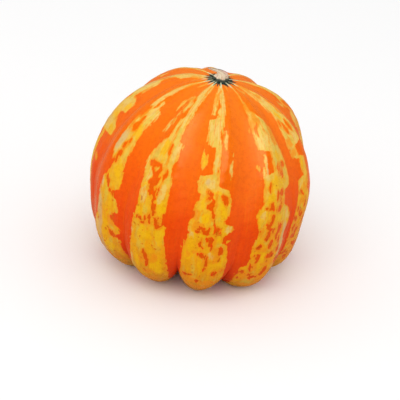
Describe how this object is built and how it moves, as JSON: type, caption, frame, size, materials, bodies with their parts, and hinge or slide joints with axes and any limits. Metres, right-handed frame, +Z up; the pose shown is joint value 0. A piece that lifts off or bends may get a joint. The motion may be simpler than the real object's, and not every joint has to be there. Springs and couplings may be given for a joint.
{
  "type": "acorn squash",
  "caption": "Round ribbed winter squash, orange with broken yellow stripes and a dark green star around a short dry stem stub; it stands on the flattened ends of its lobes.",
  "frame": {"origin": "on the surface that the squash stands on, under the middle of its bounding box", "axes": "+Z up towards the stem, -Y the side that faces the viewer, +X the viewer's right"},
  "size_m": [0.1256, 0.1259, 0.1191],
  "materials": {
    "rind": "satin",
    "dry_stem": "matte"
  },
  "bodies": {
    "root": {"fruit": "rind", "stem": "dry_stem"}
  },
  "joints": []
}
